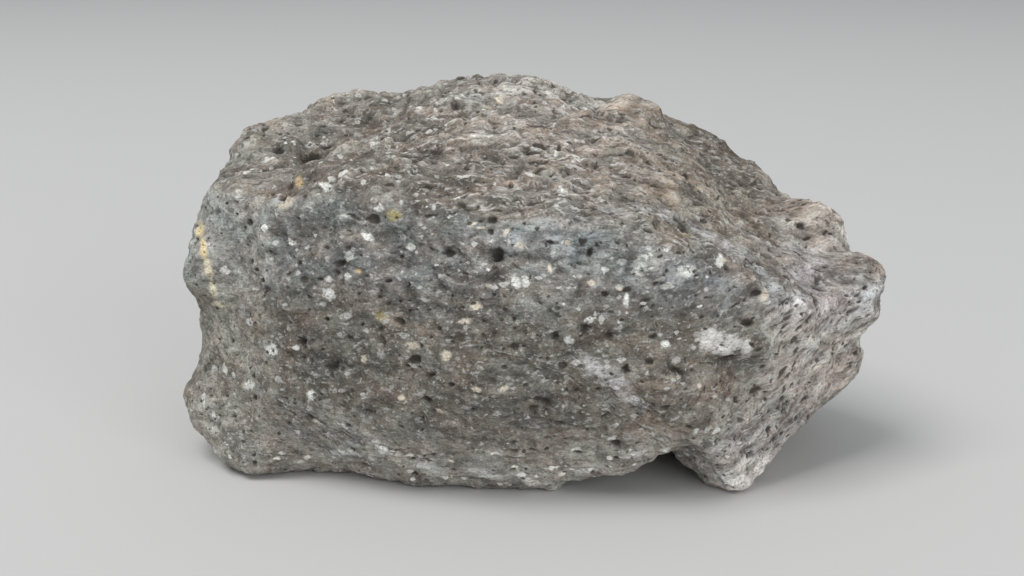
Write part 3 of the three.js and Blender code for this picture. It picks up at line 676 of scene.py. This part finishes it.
def lay_out(skin, rows):
    """Each mark's place on the skin, and the axes that measure from it in its own half sizes."""
    eye, across, up, back = view_axes()
    spots, axes = [], []
    for side, rise, wide, high, tilt in rows:
        wide, high = max(wide, THINNEST), max(high, THINNEST)
        ray = np.array(AIM) + across * side + up * rise - eye
        found, spot, _, _ = skin.ray_cast(Vector(eye * MM), Vector(ray).normalized())
        if not found:
            raise ValueError(f"no skin behind the mark at {side}, {rise}")
        turn = math.radians(tilt)
        spots.append(np.array(spot) / MM)
        axes.append([
            (across * math.cos(turn) + up * math.sin(turn)) / wide,
            (up * math.cos(turn) - across * math.sin(turn)) / high,
            back / MARK_DEPTH,
        ])
    return np.array(spots), np.array(axes)


def nearest(points, spots, axes):
    """The number of the mark that is nearest to each point, in the mark's own half sizes."""
    best = np.full(len(points), FARTHEST)
    numbers = np.zeros(len(points), int)
    for number, (spot, own) in enumerate(zip(spots, axes)):
        reach = np.linalg.norm((points - spot) @ own.T, axis=1)
        closer = reach < best
        best[closer], numbers[closer] = reach[closer], number
    return numbers


def measured(points, numbers, spots, axes):
    """Each point's offset from its mark, in the mark's own half sizes."""
    return np.einsum("pij,pj->pi", axes[numbers], points - spots[numbers])


def fold_offsets(points, normals):
    """For each point: how far along the nearest fold it lies, how far above, and that in half widths."""
    eye, across, up, back = view_axes()
    way = points - eye
    flat = np.stack([way @ across, way @ up], 1) * (AWAY / -(way @ back))[:, None]
    in_front = (points - np.array(AIM)) @ back > 0
    turned_away = np.clip(0.3 - normals @ back, 0, 1) * 4
    result = np.full((len(points), 3), UNFOLDED)
    start = 0.0
    for half, route in FOLDS:
        for first, last in zip(route, route[1:]):
            step = np.subtract(last, first)
            length = np.linalg.norm(step)
            step /= length
            off = flat - first
            along = off @ step
            beside = off @ np.array([-step[1], step[0]])
            reach = np.hypot(beside, along - np.clip(along, 0, length)) / half + turned_away
            closer = in_front & (reach < result[:, 2])
            result[closer] = np.stack([start + along, beside, reach], 1)[closer]
            start += length
        start += FOLD_GAP
    return result


def store(mesh, name, kind, values, domain="POINT"):
    field = {"FLOAT_COLOR": "color", "FLOAT_VECTOR": "vector", "FLOAT": "value"}[kind]
    if name in mesh.attributes:
        mesh.attributes.remove(mesh.attributes[name])
    attribute = mesh.attributes.new(name, kind, domain)
    attribute.data.foreach_set(field, np.ascontiguousarray(values, np.float32).ravel())


def fetch(items, field, size, kind=np.float32):
    values = np.empty(len(items) * size, kind)
    items.foreach_get(field, values)
    return values.reshape(-1, size) if size > 1 else values


def mark_shape(skin):
    """Keeps on each point where it lies from the holes and the folds; gives the marks' places."""
    points = fetch(skin.data.vertices, "co", 3) / MM
    holes = lay_out(skin, HOLES)
    numbers = nearest(points, *holes)
    store(skin.data, "hole", "FLOAT_VECTOR", measured(points, numbers, *holes))
    store(skin.data, "hole_reach", "FLOAT", np.array([min(row[2:4]) for row in HOLES])[numbers])
    normals = fetch(skin.data.vertices, "normal", 3)
    store(skin.data, "fold", "FLOAT_VECTOR", fold_offsets(points, normals))
    patches = lay_out(skin, [row for _, _, rows in PATCHES.values() for row in rows])
    return holes, patches, lay_out(skin, [row for row, _ in TONES])[0]


def mark_finish(skin, holes, patches):
    """Keeps on each face's corners where they lie from the hole and the patch nearest to the face."""
    mesh = skin.data
    sites = fetch(mesh.attributes["site"].data, "vector", 3)
    corners = sites[fetch(mesh.loops, "vertex_index", 1, np.int32)]
    starts = fetch(mesh.polygons, "loop_start", 1, np.int32)
    counts = fetch(mesh.polygons, "loop_total", 1, np.int32)
    hearts = np.add.reduceat(corners, starts) / counts[:, None]
    tints = np.array([(*colour, shows) for colour, shows, rows in PATCHES.values() for _ in rows])
    for name, marks in (("hole", holes), ("patch", patches)):
        numbers = np.repeat(nearest(hearts, *marks), counts)
        store(mesh, name, "FLOAT_VECTOR", measured(corners, numbers, *marks), "CORNER")
    # after the loop these are the numbers of the patches
    store(mesh, "patch_colour", "FLOAT_COLOR", tints[numbers], "CORNER")


def merged_copy(solid):
    """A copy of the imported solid, with its loose triangles joined."""
    rock = bpy.data.objects.new("rock", solid.data.copy())
    bpy.context.scene.collection.objects.link(rock)
    active(rock)
    bpy.ops.object.mode_set(mode="EDIT")
    bpy.ops.mesh.select_all(action="SELECT")
    bpy.ops.mesh.remove_doubles(threshold=1e-6)
    bpy.ops.object.mode_set(mode="OBJECT")
    for name in [a.name for a in rock.data.attributes if a.name in ("sharp_edge", "custom_normal")]:
        rock.data.attributes.remove(rock.data.attributes[name])
    bpy.ops.object.shade_smooth()
    return rock


def make_rock():
    rock = merged_copy(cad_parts[NODE])
    apply(rock, "NODES", node_group=facing_nodes())
    levels = 3
    apply(rock, "SUBSURF", levels=levels, render_levels=levels)
    holes, patches, tones = mark_shape(rock)
    apply(rock, "NODES", node_group=skin_nodes())
    triangles = sum(len(p.vertices) - 2 for p in rock.data.polygons)
    if triangles > FINEST:
        apply(rock, "DECIMATE", ratio=FINEST / triangles)
    bpy.ops.object.shade_smooth()
    mark_finish(rock, holes, patches)
    rock.data.materials.clear()
    rock.data.materials.append(basalt(tones))
    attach(rock, "root")
    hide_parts(NODE)


# ---- The finish ----


def attribute(b, name, output="Vector"):
    node = b.put("ShaderNodeAttribute", attribute_name=name, attribute_type="GEOMETRY")
    return node.outputs[output]


def finish_zones(b, place, site):
    """How far inside each zone of the finish a point is, from 0 to 1."""
    x, y, z = b.parts(site)
    wobble = b.noise(place, 8.0)
    top, nose, low = b.parts(attribute(b, "zone"))
    left = b.edge([(x, 1.0)], wobble, FINISH_ZONES["left"])
    foot = b.edge([(z, 1.0), (nose, 6.0)], wobble, FINISH_ZONES["foot"])
    left = b.times(left, b.total((foot, -0.75), (top, -0.75), (1.0, 1.0), clamp=True))
    # the foot fades under the nose, towards the left end and towards the back
    foot = b.times(foot, b.ease(nose, 0, 1, 1.0, 0.82, "LINEAR"))
    foot = b.times(foot, b.ease(x, -38.0, -56.0, 1.0, 0.8))
    foot = b.times(foot, b.edge([(y, 1.0)], wobble, FINISH_ZONES["front_foot"], 1.0, 0.4))
    middle, begin, whole = SHOULDERS
    from_middle = b.sum("ABSOLUTE", b.sum("SUBTRACT", x, middle))
    shoulders = b.times(b.ease(from_middle, begin, whole), top, b.sum("SUBTRACT", 1.0, nose))
    cheek = b.times(nose, b.sum("SUBTRACT", 1.0, top), b.ease(z, 10.0, 30.0, 0.36, 1.0))
    flank = b.times(nose, b.edge([(z, 1.0)], wobble, FINISH_ZONES["flank"]))
    # how much the flow shows as streaks
    drawn = b.total((top, 0.8), (nose, 0.9), (1.0, 0.2), clamp=True)
    drawn = b.times(drawn, b.ease(x, -48.0, -22.0, 0.4, 1.0))
    drawn = b.sum("MAXIMUM", drawn, b.total((left, 0.3), (foot, 0.4)))
    return {
        "top": top,
        "nose": nose,
        "low": low,
        "left": left,
        "foot": foot,
        "crown": b.times(top, b.edge([(z, 1.0)], wobble, FINISH_ZONES["crown"])),
        "crest": b.times(top, b.edge([(z, 1.0)], wobble, FINISH_ZONES["crest"])),
        "shoulders": shoulders,
        "cheek": cheek,
        "slope": b.times(attribute(b, "slope", "Fac"), top),
        "flank": b.times(flank, b.ease(z, 4.0, 12.0, 0.35, 1.0)),
        "quiet": b.times(low, b.ease(x, 0.0, -18.0)),
        "drawn": drawn,
    }


def groundmass(b, place, swirl):
    """Mottled grey, a little darker and paler in broad clouds."""
    mottle = b.noise(swirl, 3.4, 4.0, 0.66)
    colour = b.mix(b.ease(mottle, 0.32, 0.68), *GROUNDMASS)
    shade = b.noise(b.stir(place, 16.0, 5.0), 15.0)
    return b.mix(1.0, colour, b.ease(shade, 0.35, 0.65, 0.85, 1.17), "MULTIPLY")


def broad_tones(b, colour, zones, tones, site):
    """Tints the zones of the skin, with painted light at the foot, then the broad paler and darker ones."""
    for name, tint in ZONE_TINTS.items():
        colour = b.tint(zones[name], colour, tint)
    wandering = b.stir(site, 9.0, 4.0)
    for middle, ((_, _, wide, high, tilt), tint) in zip(tones, TONES):
        feeds = {
            "Vector": wandering,
            "Location": middle,
            "Rotation": (0.0, -math.radians(tilt), 0.0),
            "Scale": (wide, TONE_DEPTH, high),
        }
        own = b.put("ShaderNodeMapping", feeds, vector_type="TEXTURE").outputs[0]
        colour = b.tint(b.ease(b.vector("LENGTH", own), *TONE_EDGE), colour, tint)
    return colour


def warm_and_cool(b, colour, zones, place, swirl):
    """Brown clouds, fainter on the nose, the foot, the left end and the crest, and a slow change of hue."""
    pale_zones = b.sum("MAXIMUM", b.sum("MAXIMUM", zones["foot"], zones["left"]), zones["crest"])
    warm = b.ease(b.noise(swirl, 6.0, 3.0, 0.6), 0.46, 0.62)
    warm = b.times(warm, b.ease(zones["nose"], 0, 1, 0.85, 0.38, "LINEAR"))
    warm = b.times(warm, b.total((pale_zones, -0.65), (1.0, 1.0)))
    colour = b.tint(warm, colour, WARM_TINT)
    hue = b.noise(b.stir(place, 9.0, 4.0), 7.0)
    return b.mix(1.0, colour, b.mix(b.ease(hue, 0.38, 0.62), *HUE_TINTS), "MULTIPLY")


def scattered_feldspar(b, colour, zones, fine):
    """Crystals in some of the cells, fainter low on the front and on the slope, paler at the foot, where
    light is painted on.
    """
    shares = {"low": -0.25, "quiet": -0.25, "foot": 0.25, "slope": -0.85}
    amount = b.total(*((zones[name], share) for name, share in shares.items()), (1.0, 0.95))
    for cell, size, share, bright in CRYSTALS:
        distance, lots, _ = b.cells(fine, cell, distance="MANHATTAN")
        reach = b.ease(lots[1], 0, 1, size * 0.35, size, "LINEAR")
        mask = b.ease(b.sum("DIVIDE", distance, reach), 1.0, 0.72)
        mask = b.times(mask, b.sum("LESS_THAN", lots[0], share))
        mask = b.times(mask, amount)
        pale = b.mix(lots[2], *([bright * part for part in tint] for tint in FELDSPAR_TINTS))
        colour = b.mix(mask, colour, b.tint(zones["foot"], pale, FOOT_FELDSPAR))
    return colour


def placed_patches(b, colour, place, grit, streak):
    """The crystals and stains that stand out, and the marks of painted shadow among them; a film is thin,
    so the streaks show through it.
    """
    patch = b.put("ShaderNodeAttribute", attribute_name="patch_colour", attribute_type="GEOMETRY")
    shows = patch.outputs["Alpha"]
    ragged = b.swing(place, 0.8, 3.0, 0.7)
    fray = b.times(ragged, b.total((shows, -1.8), (1.0, 2.9)))
    away = b.vector("LENGTH", attribute(b, "patch"))
    away = b.total((away, 1.0), (fray, 1.0), (grit, 1.4), (1.0, -0.7))
    patched = b.ease(away, b.total((shows, 1.2), (1.0, -0.5)), 1.15, 1.0, 0.0)
    thin = b.ease(streak, 0.36, 0.6, 0.25, 1.0)
    thin = b.mix(b.ease(shows, 0.62, 0.7), thin, (1, 1, 1))
    return b.mix(b.times(patched, shows, thin), colour, patch.outputs["Color"])


def flow_streaks(b, colour, zones, flow, streak):
    """Bands and streaks drawn out with the flow; the pale ones are fainter on the slope."""
    bands = b.mix(b.ease(b.noise(flow, 2.4), 0.36, 0.64), *BAND_TINTS)
    colour = b.tint(zones["drawn"], colour, bands)
    low, high, tint, shows = STREAKS["pale"]
    shown = b.times(zones["drawn"], b.total((zones["slope"], -0.35), (1.0, shows)))
    colour = b.mix(b.times(b.ease(streak, low, high), shown), colour, tint)
    low, high, tint, shows = STREAKS["dark"]
    shown = b.times(zones["drawn"], shows)
    return b.mix(b.times(b.ease(streak, low, high), shown), colour, tint)


def folds(b, colour, site):
    """Pale and dark lines along the folds."""
    streak, within = fold_streak(b, attribute(b, "fold"), site)
    for low, high, tint, shows in FOLD_STREAKS.values():
        colour = b.mix(b.times(b.ease(streak, low, high, 0.0, shows), within), colour, tint)
    return colour


def flecks(b, colour, fine, grit):
    """Pale and dark flecks, and grit that is finer still."""
    fleck = b.noise(fine, 1.0, 3.0, 0.7)
    for low, high, tint, shows in FLECKS.values():
        colour = b.mix(b.ease(fleck, low, high, 0.0, shows), colour, tint)
    return b.mix(1.0, colour, b.ease(grit, 0.25, 0.75, 0.62, 1.42, "LINEAR"), "MULTIPLY")


def paint_crease_shade_and_crest_light(b, colour, low, height):
    """Paints shade into the creases and light onto the crests of the relief, less so low on the front."""
    sunk = b.total((low, 0.13), (1.0, 0.6))
    proud = b.total((low, -0.12), (1.0, 1.38))
    return b.mix(1.0, colour, b.ease(height, -0.9, 0.8, sunk, proud, "LINEAR"), "MULTIPLY")


def paint_pit_shade(b, colour, zones, flow, fine, site, grit):
    """Paints shade into the slits, the bubbles and the placed holes."""
    rough = b.sum("MAXIMUM", zones["top"], zones["nose"])
    pits = [b.times(bubble(b, flow, *kind), rough) for kind in SLITS.values()]
    pits += [bubble(b, fine, *kind) for kind in BUBBLES.values()]
    rim = b.swing(site, *RIM_NOISE)
    away = b.vector("LENGTH", attribute(b, "hole"))
    rim = b.times(rim, b.sum("MINIMUM", away, 1.0))
    hole = b.total((away, 1.0), (rim, -FRAY), (grit, 0.8), (1.0, -0.4))
    first, *others = [b.ease(inside, 0.0, 0.4) for inside in pits]
    dark = first
    for inside in (*others, b.ease(hole, 1.05, 0.3)):
        dark = b.sum("MAXIMUM", dark, inside)
    tint, shows = PAINTED_PIT_SHADE
    return b.mix(b.times(dark, shows), colour, tint)


def basalt(tones):
    """The rock's finish; tones are the middles of its broad zones, in mm."""
    material = bpy.data.materials.new("basalt")
    material.use_nodes = True
    b = Bench(material.node_tree)
    surface = material.node_tree.nodes["Principled BSDF"]
    place = attribute(b, "place")
    site = attribute(b, "site")
    zones = finish_zones(b, place, site)
    fine = b.stir(place, *FINE_WISPS)
    swirl = b.stir(place, *FLOW_WISPS)
    grit = b.noise(place, 0.42, 2.0, 0.6)
    flow = flow_place(b, swirl, zones["top"], zones["nose"], zones["slope"])
    streak = b.noise(flow, 1.0, 3.0, 0.62)

    colour = groundmass(b, place, swirl)
    colour = broad_tones(b, colour, zones, tones, site)
    colour = warm_and_cool(b, colour, zones, place, swirl)
    colour = scattered_feldspar(b, colour, zones, fine)
    colour = placed_patches(b, colour, place, grit, streak)
    colour = flow_streaks(b, colour, zones, flow, streak)
    colour = folds(b, colour, site)
    colour = flecks(b, colour, fine, grit)
    # painted shade in the creases and painted light on the crests
    colour = paint_crease_shade_and_crest_light(b, colour, zones["low"], attribute(b, "height", "Fac"))
    # painted shade in the slits, the bubbles and the placed holes
    colour = paint_pit_shade(b, colour, zones, flow, fine, site, grit)

    b.feed(surface.inputs["Base Color"], colour)
    surface.inputs["Roughness"].default_value = ROUGHNESS
    grain = b.noise(place, 1.1, 2.0, 0.6)
    lift = b.total((grit, BUMP_HEIGHTS["grit"]), (grain, BUMP_HEIGHTS["grain"]))
    bump = b.put("ShaderNodeBump", {"Height": lift, "Distance": MM, "Strength": 1.0})
    b.feed(surface.inputs["Normal"], bump.outputs[0])
    return material


# ---- Studio ----


def plain(name, colour, roughness):
    material = bpy.data.materials.new(name)
    material.use_nodes = True
    shader = material.node_tree.nodes["Principled BSDF"]
    shader.inputs["Base Color"].default_value = (*colour, 1)
    shader.inputs["Roughness"].default_value = roughness
    return material


def turn_to(thing, place, way):
    """Puts a lamp or the camera at its place, looking along its way."""
    thing.location = place
    thing.rotation_mode = "QUATERNION"
    thing.rotation_quaternion = way.to_track_quat("-Z", "Y")


def lamp(name, place, size, power, colour):
    data = bpy.data.lights.new(name, "AREA")
    data.size, data.energy, data.color = size, power, colour
    light = bpy.data.objects.new(name, data)
    bpy.context.scene.collection.objects.link(light)
    turn_to(light, place, Vector(LIT_POINT) - Vector(place))


def studio():
    bpy.ops.mesh.primitive_plane_add(size=FLOOR_SIZE, location=FLOOR_MIDDLE)
    floor = bpy.context.object
    floor.name = "floor"
    floor.data.materials.append(plain("pale_floor", FLOOR_COLOUR, FLOOR_ROUGHNESS))
    world = bpy.data.worlds.new("soft_room")
    bpy.context.scene.world = world
    world.use_nodes = True
    back = world.node_tree.nodes["Background"]
    back.inputs["Color"].default_value, back.inputs["Strength"].default_value = ROOM_LIGHT
    for name, settings in LAMPS.items():
        lamp(name, *settings)


def camera():
    data = bpy.data.cameras.new("camera")
    data.lens, data.sensor_width = LENS, SENSOR
    data.clip_start, data.clip_end = CLIP
    eye = bpy.data.objects.new("camera", data)
    bpy.context.scene.collection.objects.link(eye)
    place, _, _, back = view_axes()
    turn_to(eye, Vector(place * MM), -Vector(back))
    bpy.context.scene.camera = eye


make_rock()
studio()
camera()
bpy.context.scene.view_settings.view_transform = "Standard"
